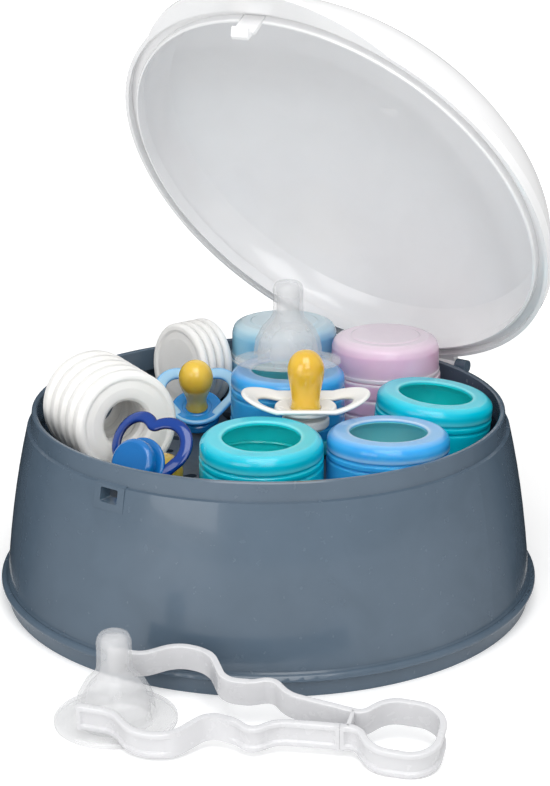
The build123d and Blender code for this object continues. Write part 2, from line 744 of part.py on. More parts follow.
# ========================================================================================
# Pacifiers: a curved shield, a rubber bulb in front of it and a knob behind it
# ========================================================================================
# where the middle of each shield is, where its bulb points and where its lobes point
pacifier_places = {
    "sky": facing((-46.5, 3.2, 79.2), bulb=(0.225, -0.309, 0.924), lobes=(-0.545, 0.746, 0.381)),
    "navy": facing((-7.6, -85.6, 82.6), bulb=(-0.042, 0.906, -0.427), lobes=(0.0, 0.36, 0.9)),
    "white": facing((31.0, -13.2, 97.8), bulb=(0, 0, 1), lobes=(-0.590, 0.807, 0)),
}
for colour, place in pacifier_places.items():
    pacifier_axis = Axis(place.origin, place.z_dir)
    with BuildPart() as shield:
        if colour == "white":
            with BuildSketch(place.offset(-shield_wall - 1)):
                SlotOverall(oval_length, oval_width)
                with Locations((-oval_length / 3.4, 0), (oval_length / 3.4, 0)):
                    SlotOverall(12.0, 7.0, rotation=90, mode=Mode.SUBTRACT)
        else:
            with BuildSketch(place.offset(-shield_wall - 1)):
                for side in (-1, 1):
                    with BuildSketch(mode=Mode.PRIVATE) as half_heart:
                        with Locations((side * lobe_offset, lobe_rise)):
                            Circle(lobe_r)
                        Circle(chin_r)
                        make_hull()
                    add(half_heart.sketch)
                offset(amount=-shield_strip, mode=Mode.SUBTRACT)
                Circle(shield_disc_r)
        extrude(amount=shield_curve_r / 2)
        with BuildSketch(section_of(place)):
            with BuildLine():
                reach = shield_curve_r * 0.8
                mid = shield_curve_r * 0.4
                outer = shield_curve_r + shield_wall
                ThreePointArc(
                    (0, 0),
                    (mid, shield_curve_r - sqrt(shield_curve_r**2 - mid**2)),
                    (reach, shield_curve_r - sqrt(shield_curve_r**2 - reach**2)),
                )
                Line(
                    (reach, shield_curve_r - sqrt(shield_curve_r**2 - reach**2)),
                    (reach, shield_curve_r - sqrt(outer**2 - reach**2)),
                )
                ThreePointArc(
                    (reach, shield_curve_r - sqrt(outer**2 - reach**2)),
                    (mid, shield_curve_r - sqrt(outer**2 - mid**2)),
                    (0, -shield_wall),
                )
                Line((0, -shield_wall), (0, 0))
            make_face()
        revolve(axis=pacifier_axis, mode=Mode.INTERSECT)
    save(shield.part, f"pacifier_{colour}_shield")
    bulb_seat = seat_gap + shield_curve_r - sqrt(shield_curve_r**2 - bulb_neck_r**2)
    with BuildPart() as bulb:
        with BuildSketch(section_of(place)):
            with BuildLine():
                Polyline((0, bulb_seat), (bulb_neck_r, bulb_seat), (bulb_neck_r, bulb_seat + 2.0))
                Spline(
                    (bulb_neck_r, bulb_seat + 2.0),
                    (bulb_r, bulb_length - bulb_r * 1.05),
                    (0, bulb_length),
                    tangents=((0.05, 1.0), (-1.0, 0.0)),
                )
                Line((0, bulb_length), (0, bulb_seat))
            make_face()
        revolve(axis=pacifier_axis)
    save(bulb.part, f"pacifier_{colour}_bulb")
    with BuildPart() as knob:
        with BuildSketch(section_of(place)):
            with BuildLine():
                top = -shield_wall - seat_gap
                Polyline(
                    (0, top),
                    (knob_stem_r, top),
                    (knob_stem_r, top - 1.2),
                    (knob_r - 1.0, top - 1.2),
                    (knob_r, top - 2.2),
                    (knob_r, top - knob_height + 1.8),
                )
                ThreePointArc(
                    (knob_r, top - knob_height + 1.8),
                    (knob_r - 0.6, top - knob_height + 0.7),
                    (knob_r - 1.8, top - knob_height),
                )
                Polyline(
                    (knob_r - 1.8, top - knob_height),
                    (0, top - knob_height),
                    (0, top),
                )
            make_face()
        revolve(axis=pacifier_axis)
    save(knob.part, f"pacifier_{colour}_knob")

# ========================================================================================
# Tongs: a springy strip on edge, its loop on the table and its jaws round the loose teat
# ========================================================================================
tilt = radians(tongs_tilt)
climb = radians(tongs_climb)
tongs_front = (-tongs_heading[1], tongs_heading[0])    # the side away from the tub
tongs_x = (tongs_heading[0] * cos(climb), tongs_heading[1] * cos(climb), sin(climb))
tongs_y = (tongs_front[0] * cos(tilt), tongs_front[1] * cos(tilt), -sin(tilt))
tongs_z = Vector(*tongs_x).cross(Vector(*tongs_y))
tongs_lift = (tongs_loop_r + tongs_strip / 2) * sin(tilt) + 0.3
tongs_place = Plane(origin=(*beside_tub(-loop_back), tongs_lift), x_dir=tongs_x, z_dir=tongs_z)
jaw_v = teat_dome_r + tongs_strip / 2 + 1.0
waist_u = 24.0
arm_points = [
    (waist_u, tongs_waist),
    (49.0, tongs_waist + 3.2),
    (57.5, tongs_waist + 11.4),
    (66.0, tongs_waist + 6.6),
    (77.0, tongs_waist + 5.6),
    (88.0, tongs_waist + 22.4),
    (103.0, tongs_waist + 23.6),
    (115.0, jaw_v),
    (130.0, jaw_v),
]
arm_bends = (15.0, 6.0, 16.0, 11.0, 14.0, 16.0, 12.0)
# one line from the front arm's joint round the loop and on along the rear arm
loop_points = [
    (waist_u, tongs_waist),
    (17.0, tongs_waist - 0.9),
    (9.0, tongs_loop_r),
    (-tongs_loop_r, tongs_loop_r),
    (-tongs_loop_r, -tongs_loop_r),
    (9.0, -tongs_loop_r),
    (17.0, 0.9 - tongs_waist),
]
loop_bends = (6.0, 13.0, tongs_loop_r - 0.1, tongs_loop_r - 0.1, 13.0, 6.0)
with BuildPart() as tongs_rear_half:
    with BuildSketch(tongs_place):
        with BuildLine():
            FilletPolyline(
                *loop_points,
                *[(u, -v) for u, v in arm_points],
                radius=loop_bends + (12.0,) + arm_bends,
            )
        trace(line_width=tongs_strip)
        # the rib that closes the finger loop
        with Locations((waist_u - 3.0, 0)):
            Rectangle(tongs_rib, 2 * tongs_waist - 0.9)
    extrude(amount=tongs_height)
save(tongs_rear_half.part, "tongs_rear_half")
with BuildPart() as tongs_front_arm:
    with BuildSketch(tongs_place):
        with BuildLine():
            FilletPolyline(
                (waist_u + tongs_joint_gap, tongs_waist), *arm_points[1:], radius=arm_bends
            )
        trace(line_width=tongs_strip)
    extrude(amount=tongs_height)
save(tongs_front_arm.part, "tongs_front_arm")
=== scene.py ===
import bmesh
import bpy
import numpy as np
from mathutils import Matrix


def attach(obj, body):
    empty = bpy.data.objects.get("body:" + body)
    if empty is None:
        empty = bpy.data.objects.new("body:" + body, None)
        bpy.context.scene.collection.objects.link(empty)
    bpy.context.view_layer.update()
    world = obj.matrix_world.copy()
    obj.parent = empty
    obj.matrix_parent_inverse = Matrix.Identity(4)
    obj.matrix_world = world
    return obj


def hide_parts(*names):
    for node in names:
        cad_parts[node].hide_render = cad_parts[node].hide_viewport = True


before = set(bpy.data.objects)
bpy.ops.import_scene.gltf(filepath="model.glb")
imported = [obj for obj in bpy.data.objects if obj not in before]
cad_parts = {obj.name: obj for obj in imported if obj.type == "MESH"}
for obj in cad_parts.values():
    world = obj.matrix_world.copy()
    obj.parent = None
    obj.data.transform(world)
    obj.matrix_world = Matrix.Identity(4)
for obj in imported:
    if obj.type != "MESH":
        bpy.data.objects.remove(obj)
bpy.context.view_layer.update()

# ---- Tub ---------------------------------------------------------------------------------
# The round tub is one injection moulding in dark slate polypropylene, polished outside,
# with its hinge ears, latch slot and foot bead moulded on and two plastic hinge pins
# pressed in.  The solids carry its shape, and the finish goes onto them here.


def noise(nodes, links, place, scale, detail):
    """A noise texture node at a scale per metre of the object's own coordinates."""
    texture = nodes.new("ShaderNodeTexNoise")
    texture.inputs["Scale"].default_value = scale
    texture.inputs["Detail"].default_value = detail
    links.new(place.outputs["Object"], texture.inputs["Vector"])
    return texture


def moulded_plastic(name, colour, deep, gloss, haze=0.0, coat=0.0, grain=1.0):
    """Moulded plastic: the colour drifts to its deeper shade along slow flow noise, the
    gloss varies with a second noise, and a fine noise raises the mould's faint grain."""
    mat = bpy.data.materials.new(name)
    mat.use_nodes = True
    nodes, links = mat.node_tree.nodes, mat.node_tree.links
    skin = nodes["Principled BSDF"]
    skin.inputs["IOR"].default_value = 1.49
    skin.inputs["Subsurface Weight"].default_value = haze
    skin.inputs["Subsurface Radius"].default_value = (1.0, 1.0, 1.0)
    skin.inputs["Subsurface Scale"].default_value = 0.01
    skin.inputs["Coat Weight"].default_value = coat
    skin.inputs["Coat Roughness"].default_value = 0.05
    place = nodes.new("ShaderNodeTexCoord")
    flow = noise(nodes, links, place, 38.0, 3.0)
    flow.inputs["Distortion"].default_value = 0.6
    shade = nodes.new("ShaderNodeValToRGB")
    shade.color_ramp.elements[0].position = 0.32
    shade.color_ramp.elements[0].color = (*deep, 1)
    shade.color_ramp.elements[1].position = 0.62
    shade.color_ramp.elements[1].color = (*colour, 1)
    links.new(flow.outputs["Fac"], shade.inputs["Fac"])
    links.new(shade.outputs["Color"], skin.inputs["Base Color"])
    scuffs = noise(nodes, links, place, 210.0, 6.0)
    dull = nodes.new("ShaderNodeMapRange")
    dull.inputs["From Min"].default_value = 0.35
    dull.inputs["From Max"].default_value = 0.75
    dull.inputs["To Min"].default_value = gloss
    dull.inputs["To Max"].default_value = gloss + 0.09
    links.new(scuffs.outputs["Fac"], dull.inputs["Value"])
    links.new(dull.outputs["Result"], skin.inputs["Roughness"])
    texture = noise(nodes, links, place, 900.0, 2.0)
    raised = nodes.new("ShaderNodeBump")
    raised.inputs["Strength"].default_value = 0.06 * grain
    raised.inputs["Distance"].default_value = 0.00005
    links.new(texture.outputs["Fac"], raised.inputs["Height"])
    links.new(raised.outputs["Normal"], skin.inputs["Normal"])
    return mat


def paint(nodes, mat):
    """Give these CAD nodes one material."""
    for node in nodes:
        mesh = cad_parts[node].data
        mesh.materials.clear()
        mesh.materials.append(mat)


slate = moulded_plastic(
    "slate_polypropylene", (0.084, 0.122, 0.166), (0.075, 0.110, 0.150), 0.2, coat=0.25
)
paint(["tub", "hinge_pin_left", "hinge_pin_right"], slate)

# ---- Lid and latch -------------------------------------------------------------------------
# The dome lid is one glossy white moulding with a locating skirt, a finger lip and two
# hinge barrels, and its thin latch tongue hooks into the slot in the tub's neck.

lid_white = moulded_plastic(
    "lid_polypropylene", (0.88, 0.88, 0.885), (0.86, 0.86, 0.865), 0.16, haze=0.04, coat=0.3
)
paint(["lid", "latch_tongue"], lid_white)

# ---- Rack ----------------------------------------------------------------------------------
# The slotted deck on six legs is a satin moulding in the tub's own slate plastic.  It lifts
# out with the whole load.

rack_slate = moulded_plastic(
    "rack_polypropylene", (0.046, 0.068, 0.098), (0.038, 0.056, 0.082), 0.38, grain=2.0
)
paint(["rack"], rack_slate)

# ---- Bottle rings --------------------------------------------------------------------------
# Screw rings in translucent polypropylene, turquoise and blue.  Each is turned from one
# profile with a lip and shallow grip grooves, and has a screw thread inside.  Three tip a
# little on the deck, and the fourth lies in the middle on the flat lid.  Their tops and edges
# carry painted highlights, and the inside of the bore and the thread a painted glow of light
# through the wall.

mm = 0.001
seat_gap = 0.3
deck_seat = 66.3
ring_r, ring_height = 28.0, 29.4
flat_lid_height = 7.4
middle = (-2.1, 18.7)
middle_seat = deck_seat + flat_lid_height + seat_gap


def bent_line(points, bends, closed, steps=6):
    """A polyline whose corners are arcs.  A corner turning by angle f with radius r starts
    r tan(f / 2) before it, and its points are a + r sin(t) u + r (1 - cos(t)) n, with u along
    the first run, n square to it towards the next, and t from 0 to f.  Half a run is the most
    that an arc may take."""
    p = np.asarray(points, float)
    before, after = np.roll(p, 1, 0) - p, np.roll(p, -1, 0) - p
    reach = np.minimum(np.hypot(*before.T), np.hypot(*after.T)) * 0.49
    u = -before / np.maximum(np.hypot(*before.T), 1e-9)[:, None]
    w = after / np.maximum(np.hypot(*after.T), 1e-9)[:, None]
    side = np.where(u[:, 0] * w[:, 1] - u[:, 1] * w[:, 0] < 0, -1.0, 1.0)
    n = np.stack([-u[:, 1], u[:, 0]], 1) * side[:, None]
    f = np.arccos(np.clip((u * w).sum(1), -1, 1)).clip(1e-4, 3.1)
    start = np.minimum(np.broadcast_to(bends, len(p)) * np.tan(f / 2), reach)
    r = (start / np.tan(f / 2))[:, None, None]
    t = np.linspace(0, 1, steps)[None, :] * f[:, None]
    a = (p - u * start[:, None])[:, None]
    arc = a + r * (np.sin(t)[..., None] * u[:, None] + (1 - np.cos(t))[..., None] * n[:, None])
    line = arc.reshape(-1, 2)
    return line if closed else np.vstack([p[:1], line[steps:-steps], p[-1:]])


def finer(line, gap):
    """A closed line with points added at even steps along its length, besides its own.  None
    is added on the axis, where the piece has no surface."""
    around = np.vstack([line, line[:1]])
    run = np.concatenate([[0], np.cumsum(np.hypot(*np.diff(around, axis=0).T))])
    s = np.union1d(run[:-1], np.arange(0, run[-1], gap))
    x, y = np.interp(s, run, around[:, 0]), np.interp(s, run, around[:, 1])
    kept = (x > 1e-6) | np.isin(s, run)
    return np.stack([x, y], 1)[kept]


def standing(x, y, seat, radius, heading=0.0, lean=0.0):
    """Where a round piece stands: its middle, and its X, Y and Z directions as rows, its Z
    leaning by some degrees to a heading, tipped onto its low edge."""
    h, t = np.radians(heading), np.radians(lean)
    z = np.array([np.sin(t) * np.cos(h), np.sin(t) * np.sin(h), np.cos(t)])
    across = np.array([-np.sin(h), np.cos(h), 0.0])
    origin = np.array([x, y, seat + radius * np.sin(t)])
    return origin, np.stack([across, np.cross(z, across), z])


def put_piece(name, grids, place, mat, smooth_below=40, painted_light=None):
    """A mesh from grids of points in a place's own directions.  A grid is (rows, columns, 3)
    with flags for joining its last row and its last column to the first, and neighbours in it
    are joined by quads.  The painted light value of each point, for painted highlights and
    glows, is kept as an attribute."""
    origin, axes = place
    all_points, all_quads, count = [], [], 0
    for grid, join_rows, join_columns in grids:
        rows, columns = grid.shape[:2]
        index = np.arange(rows * columns).reshape(rows, columns) + count
        if join_rows:
            index = np.vstack([index, index[:1]])
        if join_columns:
            index = np.hstack([index, index[:, :1]])
        quads = np.stack([index[:-1, :-1], index[1:, :-1], index[1:, 1:], index[:-1, 1:]], -1)
        all_points.append(grid.reshape(-1, 3))
        all_quads.append(quads.reshape(-1, 4))
        count += rows * columns
    points = (np.vstack(all_points) @ axes + origin) * mm
    mesh = bpy.data.meshes.new(name)
    mesh.from_pydata(points, [], np.vstack(all_quads))
    if painted_light is not None:
        painted_light_layer = mesh.attributes.new("painted_light", "FLOAT", "POINT")
        painted_light_layer.data.foreach_set("value", np.concatenate([v.ravel() for v in painted_light]))
    weld = 2e-6
    work = bmesh.new()
    work.from_mesh(mesh)
    bmesh.ops.remove_doubles(work, verts=work.verts, dist=weld)
    bmesh.ops.recalc_face_normals(work, faces=work.faces)
    work.to_mesh(mesh)
    work.free()
    mesh.shade_smooth()
    mesh.set_sharp_from_angle(angle=np.radians(smooth_below))
    mesh.materials.append(mat)
    piece = bpy.data.objects.new(name, mesh)
    bpy.context.scene.collection.objects.link(piece)
    return piece


def turned(profile, sides=128):
    """A closed profile (radius, height) carried round the axis: x = r cos a, y = r sin a."""
    a = np.linspace(0, 2 * np.pi, sides, endpoint=False)[:, None]
    r, h = profile[:, 0][None], profile[:, 1][None]
    return np.stack([r * np.cos(a), r * np.sin(a), h + 0 * a], -1)


def painted_highlight(grid, edges, width):
    """A painted highlight on a translucent wall: 1 on a lit edge at (radius, height), falling
    off as exp(-(distance / width) squared)."""
    r, h = np.hypot(grid[..., 0], grid[..., 1]), grid[..., 2]
    near = [np.exp(-((r - er) ** 2 + (h - eh) ** 2) / width**2) for er, eh in edges]
    return np.clip(sum(near), 0, 1)


def painted_bore_glow(grid, wall_r, low, high):
    """Painted glow inside a ring: -1 on the inside of its wall between two heights, where light
    through the wall is painted on, and 0 elsewhere.
    """
    r, h = np.hypot(grid[..., 0], grid[..., 1]), grid[..., 2]
    return -1.0 * ((r < wall_r) & (h > low) & (h < high))


def painted_top_light(grid, top, fade):
    """A painted highlight on a ring's top: 1 at its top, gone a fade lower."""
    return np.clip((grid[..., 2] - top) / fade + 1, 0, 1)


def screw_thread(radius, low, turns, pitch, depth, sides=90):
    """A thread's rounded ridge on the inside of a wall: a bead whose section is carried along
    a helix, h = low + pitch a / (2 pi), swelling from nothing and dying out over 40 degrees."""
    a = np.linspace(0, 2 * np.pi * turns, int(sides * turns))[:, None]
    b = np.linspace(0, 2 * np.pi, 8, endpoint=False)[None]
    swell = np.clip(np.minimum(a, a[-1] - a) / 0.7, 0.02, 1)
    r = radius + 0.3 - depth * swell * (0.5 - 0.5 * np.cos(b))
    h = low + pitch * a / (2 * np.pi) + 0.75 * swell * np.sin(b)
    return np.stack([r * np.cos(a), r * np.sin(a), h], -1)


def clear_plastic(name, colour, deep, painted_highlight_colour, gloss, cover, haze, painted_glow_colour=None):
    """Translucent moulded plastic: light spreads inside its walls and a little passes straight
    through.  The painted light attribute paints highlights: above 0, on lit edges and tops, it
    draws the colour towards the painted highlight colour, and below 0, on the inside of a wall,
    it paints a glow of light from outside in the painted glow colour."""
    mat = moulded_plastic(name, colour, deep, gloss, haze, coat=0.2, grain=0.5)
    nodes, links = mat.node_tree.nodes, mat.node_tree.links
    skin = nodes["Principled BSDF"]
    skin.inputs["Alpha"].default_value = cover
    skin.inputs["Subsurface Scale"].default_value = 0.003
    shade = skin.inputs["Base Color"].links[0].from_socket
    painted_light_layer = nodes.new("ShaderNodeAttribute")
    painted_light_layer.attribute_name = "painted_light"
    inner_glow_share = nodes.new("ShaderNodeMapRange")
    inner_glow_share.inputs["From Max"].default_value = -1.0
    links.new(painted_light_layer.outputs["Fac"], inner_glow_share.inputs["Value"])
    draws = ((painted_light_layer.outputs["Fac"], painted_highlight_colour), (inner_glow_share.outputs["Result"], painted_glow_colour or painted_highlight_colour))
    for share, drawn_to in draws:
        mix = nodes.new("ShaderNodeMix")
        mix.data_type = "RGBA"
        links.new(share, mix.inputs["Factor"])
        links.new(shade, mix.inputs["A"])
        mix.inputs["B"].default_value = (*drawn_to, 1)
        shade = mix.outputs["Result"]
    links.new(shade, skin.inputs["Base Color"])
    return mat


# the last two colours are painted light: a highlight for lit edges and tops, and a glow for the inside
turquoise = clear_plastic(
    "turquoise_polypropylene", (0.0, 0.58, 0.74), (0.0, 0.53, 0.69), (0.20, 0.76, 0.84), 0.1, 0.86, 1.0,
    (0.02, 1.0, 1.0)
)
ring_blue = clear_plastic(
    "blue_polypropylene", (0.04, 0.42, 0.86), (0.03, 0.36, 0.80), (0.52, 0.68, 0.94), 0.12, 0.82, 1.0,
    (0.30, 0.92, 1.0)
)
ring_profile = finer(bent_line(
    [
        (17.5, 27.4), (17.5, ring_height), (24.6, ring_height), (27.6, 27.0), (27.7, 22.0), (27.0, 21.3),
        (27.0, 20.7), (27.8, 20.1), (27.8, 18.4), (27.1, 17.8), (27.1, 17.2), (27.8, 16.6),
        (27.9, 6.2), (27.3, 5.8), (27.3, 5.2), (ring_r, 4.8), (ring_r, 0.0), (26.2, 0.0),
        (25.8, 23.0), (23.6, 27.4),
    ],
    [0.5, 0.7, 2.4, 4.0, 0.4, 0.3, 0.3, 0.4, 0.4, 0.3, 0.3, 0.4, 0.3, 0.2, 0.2, 0.3, 0.5, 0.5, 2.5, 1.5],
    closed=True,
), 0.8)
ring_places = {
    "ring_teal_front": (turquoise, "teal_plastic", standing(36.0, -54.3, deck_seat, ring_r, -53, 3.0)),
    "ring_blue_right": (ring_blue, "blue_plastic", standing(77.8, -15.3, deck_seat, ring_r, 122, 2.0)),
    "ring_teal_right": (turquoise, "teal_plastic", standing(65.4, 40.2, deck_seat, ring_r, 33, 5.5)),
    "ring_blue_middle": (ring_blue, "blue_plastic", standing(*middle, middle_seat, ring_r)),
}
wall = turned(ring_profile)
thread = screw_thread(25.9, 5.0, 2.6, 5.0, 1.5)
# painted light: the top and two lit edges are painted paler, and the bore and the thread are painted with
# the glow of light through the wall
painted_edge_highlights = painted_highlight(wall, [(18.0, 29.2), (27.7, 22.6)], 0.9)
wall_painted_light = np.clip(0.5 * painted_top_light(wall, ring_height, 1.8) + 0.6 * painted_edge_highlights, 0, 1)
wall_painted_light = wall_painted_light + painted_bore_glow(wall, 26.4, 1.0, 28.0)
for node, (mat, slot, place) in ring_places.items():
    ring = put_piece(
        node.replace("ring", "screw_ring"),
        [(wall, True, True), (thread, False, True)],
        place,
        mat,
        painted_light=[wall_painted_light, np.full(thread.shape[:2], -1.0)],
    )
    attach(ring, "rack")
    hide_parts(node)

# ---- Capped rings --------------------------------------------------------------------------
# Two travel caps, one pink and one sky blue, are slipped over rings of their own colour.
# Caps and rings are thin translucent polypropylene with small steps and a rounded shoulder.

# the third colour is the painted highlight
pink = clear_plastic(
    "pink_polypropylene", (0.95, 0.60, 0.78), (0.91, 0.54, 0.73), (1.0, 0.80, 0.89), 0.14, 0.9, 1.0
)
sky = clear_plastic(
    "sky_polypropylene", (0.32, 0.66, 0.94), (0.26, 0.60, 0.92), (0.80, 0.91, 1.0), 0.12, 0.75, 1.0
)
shoulder = 27.0
capped_profile = finer(bent_line(
    [
        (17.5, 30.0), (17.5, 32.0), (24.9, 32.0), (25.4, 31.5), (25.4, shoulder), (27.6, shoulder),
        (27.9, 26.4), (27.9, 19.6), (27.2, 19.0), (27.2, 18.4), (27.9, 17.8), (28.0, 11.2),
        (27.3, 10.6), (27.3, 10.0), (28.0, 9.4), (28.0, 0.0), (26.2, 0.0), (26.0, 22.0),
        (23.4, 25.0), (23.4, 30.0),
    ],
    0.5,
    closed=True,
), 0.8)
cap_height = 18.6
cap_profile = finer(bent_line(
    [
        (25.9, 0.0), (27.4, 0.0), (27.4, 1.8), (27.0, 2.3), (26.8, 12.4), (25.6, 16.4),
        (21.6, 18.1), (17.6, 18.1), (16.6, 18.55), (0, cap_height), (0, 16.9), (15.6, 16.85),
        (16.8, 16.4), (21.0, 16.4), (24.1, 14.8), (25.1, 12.2),
    ],
    [0.3, 0.4, 0.3, 0.3, 5.0, 4.0, 2.5, 0.6, 0.6, 0, 0, 0.6, 0.6, 2, 3, 4],
    closed=True,
    steps=8,
), 0.8)
capped = {"pink": (pink, 19.2, 72.7), "sky": (sky, -37.5, 64.7)}
cap_seat = deck_seat + shoulder + seat_gap
wall = turned(capped_profile)
# painted highlights on the groove edges, the thread painted a little paler, and the cap's top and lower
# rim painted paler
wall_painted_light = painted_highlight(wall, [(28, 26.7), (28, 17.9), (28, 9.5)], 0.8)
thread = screw_thread(26.0, 4.0, 2.6, 5.0, 1.4)
dome = turned(cap_profile, 144)
dome_painted_light = np.clip(0.8 * painted_top_light(dome, cap_height, 6.5) + painted_highlight(dome, [(27.4, 1.0)], 1.6), 0, 1)
for colour, (mat, x, y) in capped.items():
    ring = put_piece(
        f"capped_ring_{colour}",
        [(wall, True, True), (thread, False, True)],
        standing(x, y, deck_seat, ring_r),
        mat,
        painted_light=[wall_painted_light, np.full(thread.shape[:2], 0.2)],
    )
    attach(ring, "rack")
    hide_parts(f"ring_{colour}")
    cap = put_piece(
        f"travel_cap_{colour}",
        [(dome, True, True)],
        standing(x, y, cap_seat, ring_r),
        mat,
        painted_light=[dome_painted_light],
    )
    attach(cap, "rack")
    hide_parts(f"cap_{colour}")

# ---- Flat lid ------------------------------------------------------------------------------
# The flat turquoise lid is a shallow moulding in the front ring's plastic.  It lies face down
# under the middle ring, and its edge is knurled for grip.

flat_r = 29.6
flat_profile = bent_line(
    [
        (0, 0), (28.2, 0), (flat_r, 1.4), (flat_r, flat_lid_height), (27.6, flat_lid_height),
        (27.2, 2.2), (12.0, 2.0), (11.0, 2.8), (10.0, 2.0), (0, 2.0),
    ],
    [0, 1.2, 1.2, 0.5, 0.5, 0.8, 0.5, 0.5, 0.5, 0],
    closed=True,
)
plate = turned(flat_profile, 240)
around = np.arctan2(plate[..., 1], plate[..., 0])
# 60 knurls: the edge is drawn in by up to 1.2 per cent, as 0.5 + 0.5 cos(60 a)
edge_share = np.clip((np.hypot(plate[..., 0], plate[..., 1]) - (flat_r - 0.6)) / 0.6, 0, 1)
plate[..., :2] *= (1 - 0.012 * edge_share * (0.5 + 0.5 * np.cos(60 * around)))[..., None]
# the knurled rim carries a painted highlight on its top outer edge
flat_lid = put_piece(
    "flat_lid_knurled",
    [(plate, True, True)],
    standing(*middle, deck_seat, flat_r),
    turquoise,
    painted_light=[painted_highlight(plate, [(flat_r, flat_lid_height)], 1.0)],
)
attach(flat_lid, "rack")
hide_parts("flat_lid_teal")

# ---- Sealing discs -------------------------------------------------------------------------
# Off-white satin discs with stepped faces stand on edge in two stacks, each leaning five
# degrees on the one behind it.  Those of the front stack have a finger hole.

disc_cream = moulded_plastic(
    "disc_polypropylene", (0.90, 0.89, 0.86), (0.87, 0.855, 0.82), 0.32, haze=0.6, grain=1.5
)


def disc_profile(radius, thickness, hole):
    """Half a disc's section: a round rim, a soft step down to the face, and a face that swells
    a little and dips to the rolled edge of the hole, or runs on to the middle of a disc that
    has none; the back repeats it."""
    half = thickness / 2
    inner, inner_bends = [(0, half - 0.9), (9.0, half - 0.8)], [0, 6.0]
    if hole:
        inner, inner_bends = [(hole, half - 2.2), (hole + 1.4, half - 0.9)], [0.8, 1.2]
    face = inner + [
        (radius - 8.0, half - 0.5), (radius - 4.6, half - 0.9), (radius - 3.4, half), (radius - 1.4, half),
    ]
    face_bends = inner_bends + [4.0, 0.9, 0.9, 1.6]
    rim = [(radius, half * 0.45), (radius, -half * 0.45)]
    back = [(r, -h) for r, h in face[::-1]]
    return bent_line(face + rim + back, face_bends + [1.6, 1.6] + face_bends[::-1], closed=True, steps=8)


# each stack's front disc: x, y, heading, radius, thickness, hole and the number of discs
disc_stacks = {
    "disc_front": (-33.6, -66.0, -25.0, 25.2, 8.6, 11.2, 5),
    "disc_back": (-76.7, 28.2, -105.0, 22.5, 4.6, 0, 4),
}
disc_lean = 5.0
lean = np.radians(disc_lean)
for stack, (x, y, heading, radius, thickness, hole, count) in disc_stacks.items():
    h = np.radians(heading)
    for number in range(count):
        back = number * (thickness + seat_gap) / np.cos(lean)
        axes = standing(x, y, 0, 0, heading, 90.0 - disc_lean)[1]
        origin = np.array([
            x - back * np.cos(h),
            y - back * np.sin(h),
            deck_seat + radius * np.cos(lean) + thickness / 2 * np.sin(lean),
        ])
        disc = put_piece(
            f"sealing_{stack}_{number + 1}",
            [(turned(disc_profile(radius, thickness, hole), 112), True, True)],
            (origin, axes),
            disc_cream,
        )
        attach(disc, "rack")
        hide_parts(f"{stack}_{number + 1}")

# ---- Teats ---------------------------------------------------------------------------------
# Clear silicone teats: a thin bell with a flange, a shoulder and a soft tip.  One lies on the
# middle ring and rides with the load, and one is held in the tongs.

clear_silicone = moulded_plastic("clear_silicone", (0.78, 0.785, 0.795), (0.70, 0.705, 0.715), 0.12)
silicone_skin = clear_silicone.node_tree.nodes["Principled BSDF"]
silicone_skin.inputs["Alpha"].default_value = 0.32
silicone_skin.inputs["IOR"].default_value = 1.41
flange_r = 25.8
teat_profile = bent_line(
    [
        (14.8, 0), (25.2, 0), (flange_r, 0.5), (flange_r, 1.7), (25.0, 2.4), (17.6, 2.4), (16.6, 3.4),
        (16.5, 7.0), (15.6, 12.2), (12.6, 17.8), (8.9, 21.7), (7.5, 24.2), (7.3, 30.0),
        (7.4, 36.0), (6.4, 39.2), (3.4, 40.5), (0, 40.5), (0, 38.7), (3.0, 38.6), (5.2, 37.0),
        (5.6, 33.0), (5.5, 24.0), (7.2, 20.4), (10.9, 16.8), (13.7, 11.6), (14.7, 6.6),
    ],
    [0.3, 0.4, 0.4, 0.6, 0.6, 1.0, 1.2, 4, 6, 6, 3, 4, 6, 4, 3, 3, 0, 0, 2, 2, 4, 4, 3, 6, 6, 4],
    closed=True,
    steps=8,
)
teat_places = {
    "teat_on_ring": ("rack", standing(*middle, middle_seat + ring_height + seat_gap, flange_r, 126, 6.0)),
    "teat_in_tongs": ("tongs", standing(36.24, -156.32, 0.0, flange_r)),
}
bell = turned(teat_profile)
for node, (body, place) in teat_places.items():
    teat = put_piece(node.replace("teat", "silicone_teat"), [(bell, True, True)], place, clear_silicone)
    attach(teat, body)
    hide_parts(node)

# ---- Pacifiers -----------------------------------------------------------------------------
# Three pacifiers lie on the load: two with open heart-shaped shields and one with an oval
# one.  Each shield is a rounded strip bent on a ball, with a round plate in its middle, an
# amber rubber bulb in front of the plate and a knob behind it.

ball_r = 52.0


def facing(origin, bulb, lobes):
    """Where a pacifier is: Z along its bulb and Y as near as can be to its lobes' way."""
    z = np.array(bulb) / np.linalg.norm(bulb)
    x = np.cross(lobes, z)
    x = x / np.linalg.norm(x)
    return np.array(origin), np.stack([x, np.cross(z, x), z])


def arcs(pieces, steps=28):
    """A closed line of arcs, each (centre x, centre y, radius, first degree, last degree);
    straight runs join the end of one to the start of the next."""
    cx, cy, r, first, last = (np.array(v, float)[:, None] for v in zip(*pieces))
    a = np.radians(first + (last - first) * np.linspace(0, 1, steps)[None])
    return np.stack([cx + r * np.cos(a), cy + r * np.sin(a)], -1).reshape(-1, 2)


def on_ball(flat, depth):
    """Flat points (x, y) laid on the shield's ball and sunk by a depth along its radius."""
    out = ball_r + depth
    rise = np.sqrt(np.maximum(ball_r**2 - (flat**2).sum(-1), 1.0))
    away = np.concatenate([flat, -rise[..., None]], -1) / ball_r
    return away * out[..., None] + np.array([0, 0, ball_r])


